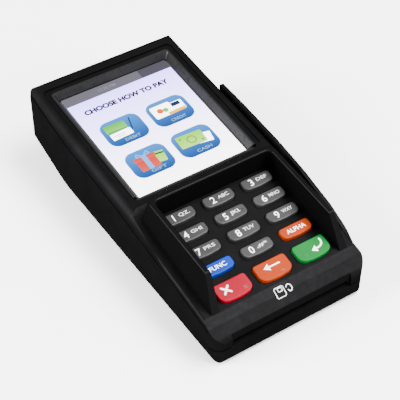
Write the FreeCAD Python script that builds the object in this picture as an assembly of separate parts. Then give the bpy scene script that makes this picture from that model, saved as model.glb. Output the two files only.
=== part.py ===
"""Countertop card payment terminal with a touch display, a fifteen-key pad behind a privacy
shield, a swipe rail on the right side and a chip-card slot in front.

Millimetres.  X runs to the right as the customer sees it, Y runs to the display end and
Z is up.  The modelling origin lies on the body's centre plane, at mid length, on the table.
Each part is built by one function and written as one STEP file.
"""
import FreeCAD, Part
import math
import os
from FreeCAD import Placement, Rotation, Vector

os.makedirs("parts", exist_ok=True)

# ------------------------------------------------------------------ overall body
BODY_LEN = 170.8            # front face to rear face
BODY_HALF_W = 42.6          # centre plane to either side face
FLOOR_Z = 1.0               # underside of the housing above the table (feet stand proud)
WALL = 2.2                  # housing wall
PLAN_FRONT_R = 6.0          # front corners seen from above
PLAN_REAR_R = 3.6
BOTTOM_EDGE_R = 5.4         # rounding along the lower side edges
SHOULDER_R = 6.5            # rounding along the upper left edge
RIGHT_SHOULDER_R = 3.2      # sharper upper edge beside the swipe rail
PAD_EDGE_R = 1.5            # rounding along the side edges of the keypad deck
Y_FRONT = -BODY_LEN / 2
Y_REAR = BODY_LEN / 2
INNER_HALF_W = BODY_HALF_W - WALL

# keypad plane: deck surface around the keys
PAD_TILT = 10.1
PAD_CENTRE = Vector(0, Y_FRONT + 38.4, 28.3)
CREST_V = -31.0             # front crest of the deck, along the keypad plane
PAD_END_Y = PAD_CENTRE.y + 33.5     # rear end of the deck

# display plane: glass face, tilted toward the customer
DISPLAY_TILT = 4.9
DISPLAY_Y = Y_REAR - 51.1
RIM_END_Y = PAD_END_Y + 2.5         # front end of the display zone
RIM_END_Z = 32.52                   # glass plane at that end
DISPLAY_RUN = (DISPLAY_Y - RIM_END_Y) * math.tan(math.radians(DISPLAY_TILT))
DISPLAY_CENTRE = Vector(0, DISPLAY_Y, RIM_END_Z + DISPLAY_RUN)
RIM_RISE = 3.5              # rim of the housing above the glass

# rear underside rises from the table
RAMP_START_Y = Y_REAR - 49.4
RAMP_ANGLE = 16.5

# parting line between the housings in side view: under the deck, then up to the rear
PART_START_Y = Y_FRONT + 5.4
PART_BREAK_Y = PAD_CENTRE.y - 5.0
PART_DROP = 0.4             # below the inner face of the deck
PART_REAR = ((PAD_CENTRE.y + 47.0, 31.8), (DISPLAY_CENTRE.y + 11.7, 35.0), (Y_REAR + 1.0, 41.6))
SLOT_Z = 10.2               # chip-card slot height, also the parting line at the front
REVEAL = 0.7                # depth of the shadow line under the parting line
REVEAL_H = 0.9

# ------------------------------------------------------------------ fits
SLIDE_CLR = 0.15            # sliding fits, each side
PART_GAP = 0.2              # parts standing side by side
KEY_CLR = 0.35              # key to deck opening, each side

# ------------------------------------------------------------------ display stack (depths below glass face)
OPENING_HALF_W = 31.8       # clear opening over the glass
OPENING_HALF_H = 38.6
BEZEL_SPREAD = 1.8          # sloped wall of the display bezel, sideways run
BEZEL_LAND = 1.2            # flat top of the bezel
BEZEL_FLANGE = 1.6
GLASS_LAP = 1.8             # glass hidden under the bezel, each side
GLASS_HALF_W = OPENING_HALF_W + GLASS_LAP
GLASS_HALF_H = OPENING_HALF_H + GLASS_LAP
GLASS_T = 1.8
GASKET_T = 0.6
GASKET_W = 2.2
PANEL_T = 2.0
BACKLIGHT_T = 1.4
CARRIER_T = 1.2
CARRIER_LIP = 1.2
EAR_X = GLASS_HALF_W + 3.0
EAR_V = 24.0
EAR_R = 2.8
EAR_DEPTH = 4.0
ANTENNA_INSET_X = 3.6
ANTENNA_INSET_Y = 6.4
ANTENNA_W = 8.0
ANTENNA_T = 0.8
GUTTER_W = 3.2              # shallow channel around the bezel
GUTTER_D = 0.9

# ------------------------------------------------------------------ keypad
ROW_PITCH = 10.7
ACTION_PITCH = 12.8         # last row of taller keys
FIRST_ROW_V = 22.8
KEY_W = 16.4
KEY_H = 6.6
ACTION_W = 17.6
ACTION_H = 10.2
COL_GAP = 4.3               # between the widest keys
COL_PITCH = ACTION_W + COL_GAP
KEY_PROUD = 1.9
KEY_TRAVEL = 0.9
KEY_TOP_R = 1.6
KEY_LOW_R = 2.8
KEY_BOW = 0.7
BOW_FLATNESS = 3.5          # radius of the bow for each mm of a key's half width
FLANGE = 0.8                # skirt that keeps a key under the deck
DECK_T = WALL * math.cos(math.radians(PAD_TILT))
MEMBRANE_TOP = DECK_T + 0.05 + FLANGE + KEY_TRAVEL + 0.1
MEMBRANE_T = 1.0
DOME_T = 0.35
DOME_R = 2.6
DOME_GAP = 0.45
PAD_BOARD_T = 1.4
PAD_BOARD_HALF_W = COL_PITCH + ACTION_W / 2 + 0.7
PAD_BOARD_REAR_V = 29.5
PAD_BOARD_FRONT_V = -29.5
PAD_BOSS_X = COL_PITCH / 2
PAD_BOSS_V = (17.4, -4.0)
PIP_R = 0.9                 # locating rings on the middle key

# ------------------------------------------------------------------ privacy shield
SHIELD_TOP_HALF_W = 35.2
SHIELD_LOW_HALF_W = 37.6
SHIELD_RISE = 13.4          # top edge above the glass plane
SHIELD_REAR_TOP_Y = PAD_CENTRE.y + 30.5
SHIELD_REAR_LOW_Y = PAD_CENTRE.y + 33.1
SHIELD_FRONT_TOP_Y = PAD_CENTRE.y - 19.0
SHIELD_FRONT_LOW_Y = PAD_CENTRE.y - 28.2
SHIELD_TOP_WALL = 2.8       # side walls
SHIELD_LOW_WALL = 4.0
SHIELD_REAR_TOP_WALL = 3.2
SHIELD_REAR_LOW_WALL = 5.0
SHIELD_CORNER_R = 4.5
SHIELD_WELL_R = 3.0
SHIELD_EDGE_R = 0.8
SHIELD_TAB_X = 35.6
SHIELD_TAB_V = (18.0, -12.0)
SHIELD_TAB = Vector(1.4, 6.0, 4.0)
SHIELD_TAB_TOP = 1.0        # tab root above the deck
SHIELD_SEAT_GAP = 0.05
SHIELD_OVERRUN = 0.6        # cutting shapes pass the shield by this much

# ------------------------------------------------------------------ swipe rail
SWIPE_GAP = 1.2
RAIL_T = 2.2
RAIL_EDGE_R = 0.7
RAIL_OUT = BODY_HALF_W + SWIPE_GAP + RAIL_T
SWIPE_FLOOR_Z = 17.0
RAIL_SHELF_T = 3.0
RAIL_BOTTOM_Z = 7.0
RAIL_TOP = ((39.5, 39.8), (20.0, 39.0), (-8.0, 36.7), (-30.0, 33.4), (-52.0, 28.0),
            (-64.0, 22.9), (-72.0, 17.0))
HEAD_Y = -6.0
HEAD_Z = 26.4
HEAD_SIZE = Vector(5.2, 8.0, 7.0)
HEAD_PROUD = 0.35
HEAD_TRAVEL = 0.6
HEAD_CLR = 0.25
HEAD_SPRING_T = 0.4
HEAD_POST_DY = 10.5
HEAD_POST_R = 2.0

# ------------------------------------------------------------------ boards and chip reader
BOARD_Z = 5.6
BOARD_T = 1.6
BOARD_HALF_W = 33.0
BOARD_FRONT_Y = Y_FRONT + 15.4
BOARD_REAR_Y = RAMP_START_Y + 2.0
BOARD_TOP = BOARD_Z + BOARD_T
BOARD_SCREW_XY = ((-29.0, 33.0), (29.0, 33.0), (-29.5, -21.5), (29.5, -21.5))
BOARD_PROP_XY = ((-24.0, -63.0), (24.0, -63.0))
READER_HALF_W = 31.0
READER_FRONT_Y = Y_FRONT + 4.9
READER_REAR_Y = READER_FRONT_Y + 54.5
READER_TOP_Z = 13.8
CARD_HALF_W = 27.3
CARD_GAP = 1.3
CARD_STOP_Y = Y_FRONT + 53.4
SLOT_MOUTH_HALF_W = 32.0
SLOT_MOUTH_H = 1.9          # above the slot's centre
POCKET_HALF_W = 33.2        # shallow pocket in the front face around the slot
POCKET_D = 1.4
POCKET_TOP_Z = 22.0
CONTACT_ROWS = 4
CONTACT_PITCH = 2.54
CONTACT_ROW_GAP = 7.6
CONTACT_Y = Y_FRONT + 23.4
LEVER_Y = CARD_STOP_Y + 1.4
LEVER_Z = READER_TOP_Z - 1.5

# ------------------------------------------------------------------ cable bay under the display end
BAY_HALF_W = 16.0
BAY_FRONT_Y = RAMP_START_Y + 8.0
BAY_TOP_Z = 25.6
BAY_WALL = 1.6
COVER_HALF_W = 19.0
COVER_T = 1.8
COVER_FRONT_V = 7.0
COVER_SLIDE = 10.0
TAB_T = 0.8
TAB_REACH = 1.3
TAB_LEN = 5.0
TAB_V = (12.0, 28.0)
CABLE_HALF_W = 4.6
CABLE_TOP_Z = 24.2
PORT_SIZE = Vector(16.0, 9.0, 7.0)

# ------------------------------------------------------------------ fastenings
SCREW_R = 1.1
SCREW_HEAD_R = 2.0
SCREW_HEAD_T = 1.6
BOSS_R = 2.7
TOWER_R = 3.2
WELL_R = 2.4
HOUSING_SCREWS = ((-36.2, -66.0, 4.2), (36.2, -66.0, 4.2), (-36.2, 20.0, 4.2), (36.2, 20.0, 4.2),
                  (-33.6, Y_REAR - 11.4, 17.0), (33.6, Y_REAR - 11.4, 17.0))   # x, y, seat height
SEAT_T = 1.8                # plastic between screw head and boss
INSERT_XY = ((-22.0, -50.0), (22.0, -50.0), (-22.0, 10.0), (22.0, 10.0))
INSERT_R = 2.2
INSERT_BORE_R = 1.25
INSERT_LEN = 3.8
FOOT_XY = ((-29.0, -73.0), (29.0, -73.0), (-31.0, 29.0), (31.0, 29.0))
FOOT_R = 5.0
FOOT_T = 1.8

REACH = 400.0               # longer than anything in the model, for cutting tools

# the bounding box is centred on the origin, so the rail's overhang shifts everything
FRAME_SHIFT = Vector(-(RAIL_OUT - BODY_HALF_W) / 2, 0, 0)

DISPLAY = Placement(DISPLAY_CENTRE, Rotation(Vector(1, 0, 0), DISPLAY_TILT))
PAD = Placement(PAD_CENTRE, Rotation(Vector(1, 0, 0), PAD_TILT))
RAMP = Placement(Vector(0, RAMP_START_Y, FLOOR_Z), Rotation(Vector(1, 0, 0), RAMP_ANGLE))


# ================================================================== helpers
def slope(angle):
    return math.tan(math.radians(angle))


def glass_z(y):
    """Height of the glass plane at y."""
    return DISPLAY_CENTRE.z + (y - DISPLAY_CENTRE.y) * slope(DISPLAY_TILT)


def rim_z(y):
    return glass_z(y) + RIM_RISE / math.cos(math.radians(DISPLAY_TILT))


def deck_z(y):
    """Height of the keypad deck at y."""
    return PAD_CENTRE.z + (y - PAD_CENTRE.y) * slope(PAD_TILT)


def ramp_z(y):
    return FLOOR_Z + (y - RAMP_START_Y) * slope(RAMP_ANGLE)


def box(x0, x1, y0, y1, z0, z1):
    return Part.makeBox(x1 - x0, y1 - y0, z1 - z0, Vector(x0, y0, z0))


def rod(x, y, z0, z1, r):
    return Part.makeCylinder(r, z1 - z0, Vector(x, y, z0))


def placed(shape, placement):
    """Copy of a locally built shape carried to its place."""
    moved = shape.copy()
    moved.Placement = placement.multiply(moved.Placement)
    return moved


def fuse(first, *others):
    return first.fuse(list(others)).removeSplitter()


def cut(first, *others):
    return first.cut(list(others))


def yz(y, z):
    return Vector(0, y, z)


def xz(x, z):
    return Vector(x, 0, z)


def xy(x, y):
    return Vector(x, y, 0)


def outline(points, lift):
    """Closed wire through (a, b, radius) corners, each rounded by its radius."""
    corners = []
    for i, (a, b, r) in enumerate(points):
        here = Vector(a, b, 0)
        back = Vector(points[i - 1][0], points[i - 1][1], 0) - here
        ahead = Vector(points[(i + 1) % len(points)][0], points[(i + 1) % len(points)][1], 0) - here
        back.normalize()
        ahead.normalize()
        if r == 0:
            corners.append((here, None, here))
            continue
        half = math.acos(max(-1.0, min(1.0, back.dot(ahead)))) / 2
        run = r / math.tan(half)
        bisector = back + ahead
        bisector.normalize()
        centre = here + bisector * (r / math.sin(half))
        corners.append((here + back * run, centre - bisector * r, here + ahead * run))
    edges = []
    for i, (start, middle, end) in enumerate(corners):
        if middle is not None:
            arc = Part.Arc(lift(start.x, start.y), lift(middle.x, middle.y), lift(end.x, end.y))
            edges.append(arc.toShape())
        nxt = corners[(i + 1) % len(corners)][0]
        if (nxt - end).Length > 1e-6:
            edges.append(Part.LineSegment(lift(end.x, end.y), lift(nxt.x, nxt.y)).toShape())
    return Part.Wire(edges)


def prism_x(points, x0, x1):
    """Side-view outline swept from x0 to x1."""
    face = Part.Face(outline(points, yz))
    face.translate(Vector(x0, 0, 0))
    return face.extrude(Vector(x1 - x0, 0, 0))


def prism_z(points, z0, z1):
    face = Part.Face(outline(points, xy))
    face.translate(Vector(0, 0, z0))
    return face.extrude(Vector(0, 0, z1 - z0))


def prism_y(points, y0, y1):
    face = Part.Face(outline(points, xz))
    face.translate(Vector(0, y0, 0))
    return face.extrude(Vector(0, y1 - y0, 0))


def rounded_block(half_w, half_h, r, w0, w1):
    """Rounded rectangle about the local origin, from height w0 to w1."""
    corners = [(-half_w, -half_h, r), (half_w, -half_h, r), (half_w, half_h, r), (-half_w, half_h, r)]
    return prism_z(corners, w0, w1)


# ================================================================== housing envelope
def side_outline(inset):
    """Side view of the body; inset moves every face inward, the front one by the pocket too."""
    front = Y_FRONT + inset * (1 + POCKET_D / WALL)
    crest_y = PAD_CENTRE.y + CREST_V * math.cos(math.radians(PAD_TILT)) + inset / 2
    step = max(0.0, inset - 0.6)
    return [
        (front, FLOOR_Z + inset, max(0.4, 2.0 - inset)),
        (front, 15.5 - inset / 2, max(2.5, 6.0 - inset)),
        (crest_y - 2.6, deck_z(crest_y) - 1.9 - inset, max(1.2, 3.6 - inset)),
        (crest_y + 1.8, deck_z(crest_y + 1.8) - inset, max(1.0, 4.0 - inset)),
        (PAD_END_Y + step, deck_z(PAD_END_Y + step) - inset, 0),
        (RIM_END_Y + step, rim_z(RIM_END_Y + step) - inset, 0),
        (Y_REAR - inset, rim_z(Y_REAR) - inset, max(0.6, 2.4 - inset)),
        (Y_REAR - inset, ramp_z(Y_REAR) + inset, max(1.0, 4.0 - inset)),
        (RAMP_START_Y, FLOOR_Z + inset, 18.0),
    ]


def envelope(inset):
    """Whole body as one solid: side view, plan, shoulders and lower edges intersected."""
    half = BODY_HALF_W - inset
    body = prism_x(side_outline(inset), -half, half)
    front_r = max(1.5, PLAN_FRONT_R - inset)
    rear_r = max(1.0, PLAN_REAR_R - inset)
    plan = [(-half, Y_FRONT + inset, front_r), (half, Y_FRONT + inset, front_r),
            (half, Y_REAR - inset, rear_r), (-half, Y_REAR - inset, rear_r)]
    body = body.common(prism_z(plan, -5, 60))
    low_r = max(0.5, BOTTOM_EDGE_R - inset)
    section = [(-half, FLOOR_Z + inset, low_r), (half, FLOOR_Z + inset, low_r), (half, 70, 0), (-half, 70, 0)]
    body = body.common(prism_y(section, -REACH / 2, REACH / 2))
    top = RIM_RISE - inset
    left_r = max(1.0, SHOULDER_R - inset)
    right_r = max(0.5, RIGHT_SHOULDER_R - inset)
    shoulder = [(-half, -60, 0), (half, -60, 0), (half, top, right_r), (-half, top, left_r)]
    body = body.common(placed(prism_y(shoulder, -REACH / 2, REACH / 2), DISPLAY))
    edge_r = max(0.4, PAD_EDGE_R - inset)
    deck = [(-half, -60, 0), (half, -60, 0), (half, -inset, edge_r), (-half, -inset, edge_r)]
    deck_prism = placed(prism_y(deck, -REACH / 2, REACH / 2), PAD)
    rear_zone = box(-REACH, REACH, PAD_END_Y, REACH, -REACH, REACH)
    return fuse(body.common(deck_prism), body.common(rear_zone))


def above_parting(drop=0.0):
    """Everything above the parting line, which drops to the card slot at the front."""
    line = [(y, deck_z(y) - WALL - PART_DROP) for y in (PART_START_Y, PART_BREAK_Y)]
    line += PART_REAR
    points = [(-REACH, SLOT_Z - drop, 0), (PART_START_Y, SLOT_Z - drop, 0)]
    points += [(y, z - drop, 0) for y, z in line]
    points += [(REACH, line[-1][1] - drop, 0), (REACH, REACH, 0), (-REACH, REACH, 0)]
    return prism_x(points, -REACH, REACH)


def card_slot():
    """Chip-card slot through the front wall: pocket in the face, flared mouth and throat."""
    floor = SLOT_Z - CARD_GAP / 2
    face = Y_FRONT + POCKET_D
    throat = box(-CARD_HALF_W, CARD_HALF_W, Y_FRONT - 5, CARD_STOP_Y, floor, floor + CARD_GAP)
    pocket = box(-POCKET_HALF_W, POCKET_HALF_W, Y_FRONT - 5, face, floor, POCKET_TOP_Z)
    flare = [(-SLOT_MOUTH_HALF_W, Y_FRONT - 5, 0), (SLOT_MOUTH_HALF_W, Y_FRONT - 5, 0),
             (SLOT_MOUTH_HALF_W, face + 1.2, 0), (CARD_HALF_W, face + WALL, 0),
             (-CARD_HALF_W, face + WALL, 0), (-SLOT_MOUTH_HALF_W, face + 1.2, 0)]
    mouth = prism_z(flare, floor, SLOT_Z + SLOT_MOUTH_H)
    return fuse(throat, pocket, mouth)


def head_window():
    half_y = HEAD_SIZE.y / 2 + HEAD_CLR
    half_z = HEAD_SIZE.z / 2 + HEAD_CLR
    return box(INNER_HALF_W - 2, BODY_HALF_W + 1, HEAD_Y - half_y, HEAD_Y + half_y,
               HEAD_Z - half_z, HEAD_Z + half_z)


# ================================================================== lower housing
def rail_profile():
    """Outer wall of the swipe rail in side view."""
    rear_y = RAIL_TOP[0][0]
    front_y = RAIL_TOP[-1][0]
    points = [(front_y - 2.0, RAIL_BOTTOM_Z, 2.0), (rear_y, RAIL_BOTTOM_Z, 2.0)]
    points += [(y, z, 1.0 if i == 0 else 12.0) for i, (y, z) in enumerate(RAIL_TOP[:-1])]
    points.append((front_y - 2.0, RAIL_TOP[-1][1] - 2.0, 2.0))
    return points


def swipe_rail():
    """Outer wall and card floor, joined to the right side of the housing."""
    wall = prism_x(rail_profile(), BODY_HALF_W - WALL / 2, RAIL_OUT)
    wall = wall.makeFillet(RAIL_EDGE_R, [e for e in wall.Edges if e.BoundBox.XMin > RAIL_OUT - 0.01])
    rear_y = RAIL_TOP[0][0]
    front_y = RAIL_TOP[-1][0]
    track = box(BODY_HALF_W - WALL, BODY_HALF_W + SWIPE_GAP, front_y - 10, rear_y + 5, SWIPE_FLOOR_Z, 60)
    shelf_z = SWIPE_FLOOR_Z - RAIL_SHELF_T
    underside = [(BODY_HALF_W, RAIL_BOTTOM_Z - 1, 0), (RAIL_OUT + 1, RAIL_BOTTOM_Z - 1, 0),
                 (RAIL_OUT + 1, shelf_z, 0), (RAIL_OUT, shelf_z - 1, 0)]
    chamfer = prism_y(underside, front_y - 10, rear_y + 5)
    return cut(wall, track, chamfer)


def cover_slots(extra):
    """Space taken by the sliding bay cover, grown by its clearance."""
    side = COVER_HALF_W + extra
    plate = box(-side, side, COVER_FRONT_V - extra, REACH, -3, COVER_T + extra)
    tongue_top = 0.6 + TAB_T + extra
    tongue_side = COVER_HALF_W + TAB_REACH + extra
    tongue = box(-tongue_side, tongue_side, TAB_V[0] - TAB_LEN, REACH, 0.6 - extra, tongue_top)
    entries = []
    for v in TAB_V:
        start = v + COVER_SLIDE - extra
        entries.append(box(-tongue_side, tongue_side, start, start + TAB_LEN + 2 * extra, -3, 1.0))
    return placed(fuse(plate, tongue, *entries), RAMP)


def bay_solid(grow):
    """Cable bay above the ramp: its hollow, or its outside when grown by the wall."""
    points = [(BAY_FRONT_Y - grow, FLOOR_Z, 0), (Y_REAR - WALL + grow, FLOOR_Z, 0),
              (Y_REAR - WALL + grow, BAY_TOP_Z + grow, 0), (BAY_FRONT_Y - grow, BAY_TOP_Z + grow, 0)]
    return prism_x(points, -BAY_HALF_W - grow, BAY_HALF_W + grow)


def cable_notch():
    arch = CABLE_HALF_W
    inside_y = Y_REAR - WALL - 1
    low = box(-arch, arch, inside_y, Y_REAR + 2, ramp_z(Y_REAR) - 2, CABLE_TOP_Z - arch)
    centre = Vector(0, inside_y, CABLE_TOP_Z - arch)
    crown = Part.makeCylinder(arch, WALL + 3, centre, Vector(0, 1, 0))
    return fuse(low, crown)


def port_window():
    half = PORT_SIZE.x / 2 + PART_GAP
    z0 = BOARD_TOP
    return box(-half, half, BAY_FRONT_Y - BAY_WALL - 1, BAY_FRONT_Y + 0.5, z0, z0 + PORT_SIZE.z + PART_GAP)


def floor_fittings():
    """Everything that stands up from the floor inside the lower housing."""
    pieces = []
    for x, y, seat in HOUSING_SCREWS:
        pieces.append(rod(x, y, FLOOR_Z + 0.2, seat + SEAT_T, TOWER_R))
    for x, y in BOARD_SCREW_XY:
        pieces.append(rod(x, y, FLOOR_Z + 1, BOARD_Z, 2.8))
    for x, y in BOARD_PROP_XY:
        pieces.append(rod(x, y, FLOOR_Z + 1, BOARD_Z, 2.0))
    for x, y in INSERT_XY:
        pieces.append(rod(x, y, FLOOR_Z + 1, BOARD_Z - PART_GAP, INSERT_R + 1.4))
    for side in (-1, 1):
        y = HEAD_Y + side * HEAD_POST_DY
        post_len = INNER_HALF_W + 1 - spring_x()
        root = Vector(spring_x(), y, HEAD_Z)
        pieces.append(Part.makeCylinder(HEAD_POST_R, post_len, root, Vector(1, 0, 0)))
    return pieces


def spring_x():
    """Inboard faces of the posts that carry the head spring."""
    return BODY_HALF_W + HEAD_PROUD - HEAD_SIZE.x - HEAD_TRAVEL - 0.15


def floor_holes():
    holes = []
    for x, y, seat in HOUSING_SCREWS:
        holes.append(rod(x, y, -2, seat, WELL_R))
        holes.append(rod(x, y, seat - 1, seat + SEAT_T + 1, SCREW_R + 0.15))
    for x, y in BOARD_SCREW_XY:
        holes.append(rod(x, y, BOARD_Z - 2.6, BOARD_Z + 1, SCREW_R))
    for x, y in INSERT_XY:
        holes.append(rod(x, y, -1, FLOOR_Z + INSERT_LEN, INSERT_R))
    for x, y in FOOT_XY:
        holes.append(rod(x, y, -1, FOOT_T, FOOT_R))
    for side in (-1, 1):
        y = HEAD_Y + side * HEAD_POST_DY
        holes.append(Part.makeCylinder(SCREW_R, 3.4, Vector(spring_x() - 0.5, y, HEAD_Z), Vector(1, 0, 0)))
    return holes


def make_lower_housing():
    outer = envelope(0)
    inner = envelope(WALL)
    body = cut(outer, inner, above_parting())
    shadow = cut(outer, envelope(REVEAL)).common(cut(above_parting(REVEAL_H), above_parting()))
    body = cut(body, shadow)
    pad_box = placed(box(-COVER_HALF_W - 3.5, COVER_HALF_W + 3.5, COVER_FRONT_V - 3, REACH, 0.2, 4.4), RAMP)
    fittings = [piece.common(outer) for piece in floor_fittings()]
    inside = [pad_box.common(outer), bay_solid(BAY_WALL).common(outer)]
    body = fuse(body, swipe_rail(), *(fittings + inside))
    body = cut(body, bay_solid(0), cover_slots(SLIDE_CLR), cable_notch(), port_window())
    body = cut(body, card_slot(), head_window(), *floor_holes())
    return body


# ================================================================== upper housing
def display_cutouts():
    """Display opening, the step for the bezel flange and the shallow channel around it."""
    top_half_w = OPENING_HALF_W + BEZEL_SPREAD + BEZEL_LAND
    top_half_h = OPENING_HALF_H + BEZEL_SPREAD + BEZEL_LAND
    hole = rounded_block(top_half_w, top_half_h, 2.2, -8, RIM_RISE + 5)
    channel = rounded_block(top_half_w + GUTTER_W, top_half_h + GUTTER_W, 3.0,
                            RIM_RISE - GUTTER_D, RIM_RISE + 5)
    front_land = box(-60, 60, -80, -OPENING_HALF_H - 0.5, RIM_RISE - GUTTER_D - 1, RIM_RISE + 9)
    return placed(hole, DISPLAY), placed(cut(channel, front_land), DISPLAY)


def key_names():
    return (("1", "2", "3"), ("4", "5", "6"), ("7", "8", "9"), ("function", "0", "alpha"),
            ("cancel", "clear", "enter"))


def key_places():
    """Name, column offset, row position and whether the key is one of the tall ones."""
    places = []
    for row, names in enumerate(key_names()):
        v = FIRST_ROW_V - row * ROW_PITCH
        tall = row == len(key_names()) - 1
        if tall:
            v = FIRST_ROW_V - (row - 1) * ROW_PITCH - ACTION_PITCH
        for col, name in enumerate(names):
            places.append((name, (col - 1) * COL_PITCH, v, tall))
    return places


def key_block(u, v, tall, grow, w0, w1):
    """Key outline: straight rear edge, bowed front edge with larger corners."""
    half_w = (ACTION_W if tall else KEY_W) / 2 + grow
    half_h = (ACTION_H if tall else KEY_H) / 2 + grow
    bow = KEY_BOW * (1.6 if tall else 1.0)
    low = KEY_LOW_R * (1.3 if tall else 0.9)
    points = [(-half_w, half_h, KEY_TOP_R + grow), (-half_w, -half_h + bow, low + grow),
              (0, -half_h, BOW_FLATNESS * half_w), (half_w, -half_h + bow, low + grow), (half_w, half_h, KEY_TOP_R + grow)]
    block = prism_z(points, w0, w1)
    block.translate(Vector(u, v, 0))
    return block


def deck_openings():
    return [placed(key_block(u, v, tall, KEY_CLR, -6, 6), PAD) for name, u, v, tall in key_places()]


def shield_tab_slots():
    slots = []
    for side in (-1, 1):
        for v in SHIELD_TAB_V:
            half_x = SHIELD_TAB.x / 2 + SLIDE_CLR
            half_y = SHIELD_TAB.y / 2 + SLIDE_CLR
            u = side * SHIELD_TAB_X
            slots.append(placed(box(u - half_x, u + half_x, v - half_y, v + half_y, -6, 6), PAD))
    return slots


def pad_board_top():
    return -(MEMBRANE_TOP + MEMBRANE_T + DOME_GAP)


def pad_bosses():
    posts = []
    for u in (-PAD_BOSS_X, PAD_BOSS_X):
        for v in PAD_BOSS_V:
            posts.append((u, v))
    return posts


def boss_clearances(r, w0, w1):
    return [rod(u, v, w0, w1, r) for u, v in pad_bosses()]


def make_upper_housing():
    outer = envelope(0)
    body = cut(outer, envelope(WALL)).common(above_parting())
    posts = []
    for x, y, seat in HOUSING_SCREWS:
        posts.append(rod(x, y, seat + SEAT_T, 60, BOSS_R).common(envelope(0.5)))
    for u in (-EAR_X, EAR_X):
        for v in (-EAR_V, EAR_V):
            post = placed(rod(u, v, -EAR_DEPTH, RIM_RISE - 0.5, 2.4), DISPLAY)
            posts.append(post.common(envelope(0.5)))
    for u, v in pad_bosses():
        posts.append(placed(rod(u, v, pad_board_top(), -0.5, 1.7), PAD))
    body = fuse(body, *posts)
    hole, channel = display_cutouts()
    tools = [hole, channel, card_slot(), head_window()] + deck_openings() + shield_tab_slots()
    for x, y, seat in HOUSING_SCREWS:
        tools.append(rod(x, y, seat + SEAT_T - 1, seat + SEAT_T + 9, SCREW_R))
    for u in (-EAR_X, EAR_X):
        for v in (-EAR_V, EAR_V):
            tools.append(placed(rod(u, v, -EAR_DEPTH - 1, 0.2, SCREW_R), DISPLAY))
    for u, v in pad_bosses():
        tools.append(placed(rod(u, v, pad_board_top() - 1, -2.6, 0.8), PAD))
    return cut(body, *tools)


# ================================================================== privacy shield
def shield_wire(half_w, y0, y1, r, height):
    """Plan outline lifted onto the plane given by height(y); corners rounded at the rear."""
    points = [(-half_w, y0, 0), (half_w, y0, 0), (half_w, y1, r), (-half_w, y1, r)]
    return outline(points, lambda x, y: Vector(x, y, height(y)))


def shield_loft(low, top, low_height, top_height):
    wires = [shield_wire(*low, low_height), shield_wire(*top, top_height)]
    return Part.makeLoft(wires, True, True)


def shield_top_z(y):
    return glass_z(y) + SHIELD_RISE


def shield_under_z(y):
    return deck_z(y) - SHIELD_OVERRUN


def shield_over_z(y):
    return shield_top_z(y) + SHIELD_OVERRUN


def shield_seat_z(y):
    return deck_z(y) + SHIELD_SEAT_GAP


def shield_tab(side, v):
    """Clip that hangs from the shield's wall through the deck."""
    u = side * SHIELD_TAB_X
    size = SHIELD_TAB
    return placed(box(u - size.x / 2, u + size.x / 2, v - size.y / 2, v + size.y / 2,
                      SHIELD_TAB_TOP - size.z, SHIELD_TAB_TOP), PAD)


def make_privacy_shield():
    """Three-sided hood around the keys, clipped into the deck by four tabs."""
    well_front = SHIELD_FRONT_LOW_Y - SHIELD_OVERRUN
    outer = shield_loft((SHIELD_LOW_HALF_W, SHIELD_FRONT_LOW_Y, SHIELD_REAR_LOW_Y, SHIELD_CORNER_R),
                        (SHIELD_TOP_HALF_W, SHIELD_FRONT_TOP_Y, SHIELD_REAR_TOP_Y, SHIELD_CORNER_R),
                        shield_seat_z, shield_top_z)
    well = shield_loft((SHIELD_LOW_HALF_W - SHIELD_LOW_WALL, well_front,
                        SHIELD_REAR_LOW_Y - SHIELD_REAR_LOW_WALL, SHIELD_WELL_R),
                       (SHIELD_TOP_HALF_W - SHIELD_TOP_WALL, well_front,
                        SHIELD_REAR_TOP_Y - SHIELD_REAR_TOP_WALL, SHIELD_WELL_R),
                       shield_under_z, shield_over_z)
    shell = cut(outer, well)
    shell = shell.makeFillet(SHIELD_EDGE_R, shield_top_edges(shell))
    tabs = [shield_tab(side, v) for side in (-1, 1) for v in SHIELD_TAB_V]
    return fuse(shell, *tabs)


def shield_top_edges(shell):
    """Edges of the shield's upper rim, inside and outside."""
    return [e for e in shell.Edges
            if all(v.Z > shield_top_z(v.Y) - 0.01 for v in e.Vertexes) and e.Length > 2.0]


# ================================================================== display parts
def make_display_bezel():
    """Sloped frame that drops from the rim to the glass."""
    low = rounded_rect_wire(OPENING_HALF_W, OPENING_HALF_H, 1.2, 0)
    top = rounded_rect_wire(OPENING_HALF_W + BEZEL_SPREAD, OPENING_HALF_H + BEZEL_SPREAD, 1.6, RIM_RISE)
    well = Part.makeLoft([low, top], True, True)
    outer_w = OPENING_HALF_W + BEZEL_SPREAD + BEZEL_LAND - SLIDE_CLR
    outer_h = OPENING_HALF_H + BEZEL_SPREAD + BEZEL_LAND - SLIDE_CLR
    ring = rounded_block(outer_w, outer_h, 2.05, 0, RIM_RISE)
    front_low = box(-60, 60, -60, -OPENING_HALF_H - 0.4, RIM_RISE - GUTTER_D - 1, RIM_RISE + 1)
    return placed(cut(ring, well, front_low), DISPLAY)


def rounded_rect_wire(half_w, half_h, r, w):
    corners = [(-half_w, -half_h, r), (half_w, -half_h, r), (half_w, half_h, r), (-half_w, half_h, r)]
    return outline(corners, lambda a, b: Vector(a, b, w))


def make_touch_glass():
    return placed(rounded_block(GLASS_HALF_W, GLASS_HALF_H, 2.0, -GLASS_T, 0), DISPLAY)


def make_display_gasket():
    ring = rounded_block(GLASS_HALF_W, GLASS_HALF_H, 2.0, -GLASS_T - GASKET_T, -GLASS_T)
    hole = rounded_block(GLASS_HALF_W - GASKET_W, GLASS_HALF_H - GASKET_W, 1.0, -10, 0)
    return placed(cut(ring, hole), DISPLAY)


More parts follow.
